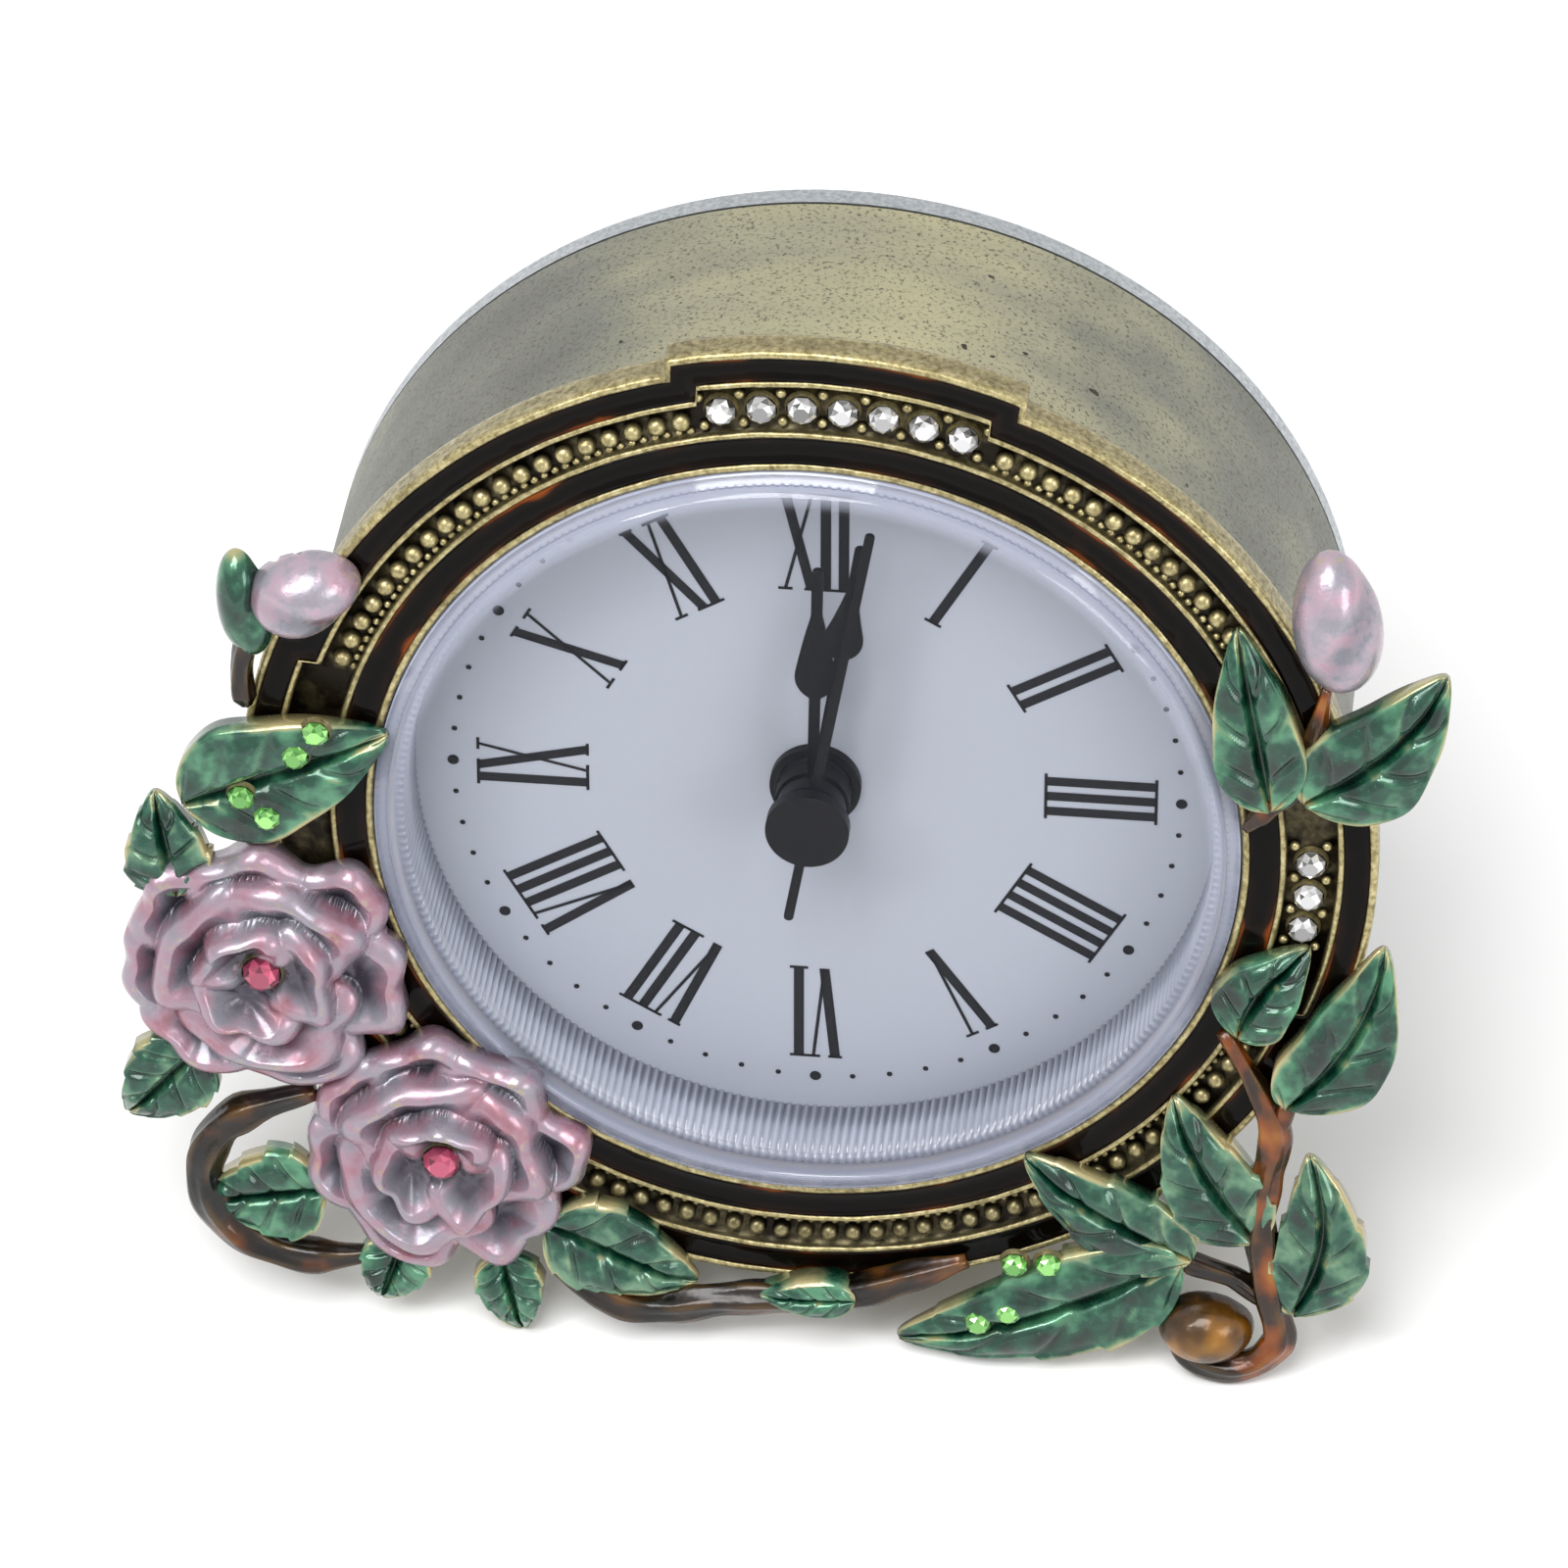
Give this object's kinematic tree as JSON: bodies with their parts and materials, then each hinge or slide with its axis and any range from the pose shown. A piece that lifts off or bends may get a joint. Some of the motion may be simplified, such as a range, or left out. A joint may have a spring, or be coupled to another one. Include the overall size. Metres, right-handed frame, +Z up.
{
  "type": "pendulette clock",
  "caption": "Small round table clock that leans back on its drum, with an enamelled flower and leaf frame set with stones, a domed window, Roman dial and battery movement.",
  "frame": {"origin": "centre of the bounding box on the surface the clock stands on", "axes": "+X to the right seen from the front, +Y away from the viewer towards the drum, +Z up; the dial faces -Y and leans back by about 16 degrees"},
  "size_m": [0.1004, 0.0534, 0.0867],
  "materials": {
    "antique_brass": "satin, grainy",
    "gold_plate": "satin, patinated",
    "grey_metal": "satin",
    "black_enamel": "gloss",
    "pearl_pink_enamel": "pearl gloss",
    "deep_pink_enamel": "pearl gloss",
    "emerald_enamel": "gloss, flaked",
    "moss_enamel": "gloss, flaked",
    "amber_enamel": "gloss",
    "clear_stone": "faceted",
    "green_stone": "faceted",
    "pink_stone": "faceted",
    "clear_acrylic": "clear gloss",
    "dial_white": "matte",
    "black_hand": "satin",
    "cup_brass": "satin",
    "grip_rubber": "matte",
    "black_plastic": "satin",
    "white_plastic": "satin",
    "wheel_brass": "satin",
    "steel": "satin",
    "copper_wire": "varnished",
    "board_green": "gloss",
    "magnet": "matte",
    "cell_steel": "polished"
  },
  "bodies": {
    "case": {"front_casting": "gold_plate", "inner_enamel": "black_enamel", "outer_enamel": "black_enamel", "drum_shell": "antique_brass", "back_ring": "grey_metal", "crest_stones": "clear_stone", "side_stones": "clear_stone", "rose_stones": "pink_stone", "left_leaf_stones": "green_stone", "right_leaf_stones": "green_stone", "upper_rose": "pearl_pink_enamel", "lower_rose": "pearl_pink_enamel", "left_bud": "deep_pink_enamel", "left_bud_sepal": "emerald_enamel", "left_bud_stem": "amber_enamel", "right_bud": "deep_pink_enamel", "right_bud_stem": "amber_enamel", "left_vine_loop": "amber_enamel", "bottom_vine": "amber_enamel", "right_vine": "amber_enamel", "right_upper_leaves": "emerald_enamel", "right_middle_leaves": "emerald_enamel", "right_lower_leaves": "moss_enamel", "right_jewelled_leaf": "emerald_enamel", "left_jewelled_leaf": "emerald_enamel", "left_outer_leaves": "moss_enamel", "loop_leaf": "emerald_enamel", "foot_leaves": "emerald_enamel", "bottom_left_leaf": "moss_enamel", "bottom_small_leaf": "emerald_enamel", "lens": "clear_acrylic", "dial": "dial_white", "insert_cup": "cup_brass", "grip_ring": "grip_rubber", "dial_nut": "cup_brass", "movement_plate": "black_plastic", "movement_cover": "black_plastic", "gear_bridge": "black_plastic", "stator": "steel", "coil_bobbin": "white_plastic", "coil_winding": "copper_wire", "circuit_board": "board_green", "crystal_can": "cell_steel", "battery": "cell_steel", "battery_contacts": "steel", "cover_screws": "steel"},
    "hour": {"hour_hand": "black_hand", "hour_wheel": "white_plastic"},
    "minute": {"minute_hand": "black_hand", "minute_cannon": "wheel_brass"},
    "minute_wheel_body": {"minute_wheel": "white_plastic"},
    "knob": {"setting_knob": "black_plastic"},
    "seconds": {"seconds_hand": "black_hand", "seconds_wheel": "white_plastic"},
    "third": {"third_wheel": "white_plastic"},
    "centre": {"centre_wheel": "wheel_brass"},
    "fifth": {"fifth_wheel": "white_plastic"},
    "rotor_body": {"rotor": "magnet"},
    "battery_lid": {"battery_cover": "black_plastic"}
  },
  "joints": [
    {"name": "hour_spin", "type": "hinge", "parent": "case", "child": "hour", "pos_m": [0.00246, -0.00341, 0.04353], "axis": [0, 0.9618, -0.2738], "continuous": true},
    {"name": "minute_spin", "type": "hinge", "parent": "case", "child": "minute", "pos_m": [0.00246, -0.00341, 0.04353], "axis": [0, 0.9618, -0.2738], "continuous": true},
    {"name": "minute_wheel_spin", "type": "hinge", "parent": "case", "child": "minute_wheel_body", "pos_m": [0.00852, -0.001, 0.0392], "axis": [0, 0.9618, -0.2738], "continuous": true},
    {"name": "knob_spin", "type": "hinge", "parent": "case", "child": "knob", "pos_m": [0.00731, 0.00144, 0.03134], "axis": [0, 0.9618, -0.2738], "continuous": true},
    {"name": "seconds_spin", "type": "hinge", "parent": "case", "child": "seconds", "pos_m": [0.00246, 0.00044, 0.04243], "axis": [0, 0.9618, -0.2738], "continuous": true},
    {"name": "third_spin", "type": "hinge", "parent": "case", "child": "third", "pos_m": [-0.00343, 0.00378, 0.04502], "axis": [0, 0.9618, -0.2738], "continuous": true},
    {"name": "centre_spin", "type": "hinge", "parent": "case", "child": "centre", "pos_m": [0.00246, 0.00121, 0.04221], "axis": [0, 0.9618, -0.2738], "continuous": true},
    {"name": "fifth_spin", "type": "hinge", "parent": "case", "child": "fifth", "pos_m": [0.00526, 0.00542, 0.04606], "axis": [0, 0.9618, -0.2738], "continuous": true},
    {"name": "rotor_spin", "type": "hinge", "parent": "case", "child": "rotor_body", "pos_m": [0.00977, 0.00654, 0.04744], "axis": [0, 0.9618, -0.2738], "continuous": true},
    {"name": "lid_slide", "type": "slide", "parent": "case", "child": "battery_lid", "axis": [-1, 0, 0], "range_m": [0, 0.0125]}
  ],
  "couplings": [
    {"joint": "hour_spin", "follows": "minute_spin", "ratio": 0.083333},
    {"joint": "minute_wheel_spin", "follows": "minute_spin", "ratio": -0.33333},
    {"joint": "knob_spin", "follows": "minute_spin", "ratio": 1},
    {"joint": "third_spin", "follows": "seconds_spin", "ratio": -0.13333},
    {"joint": "centre_spin", "follows": "seconds_spin", "ratio": 0.016667},
    {"joint": "fifth_spin", "follows": "seconds_spin", "ratio": -6},
    {"joint": "rotor_spin", "follows": "seconds_spin", "ratio": 30}
  ]
}
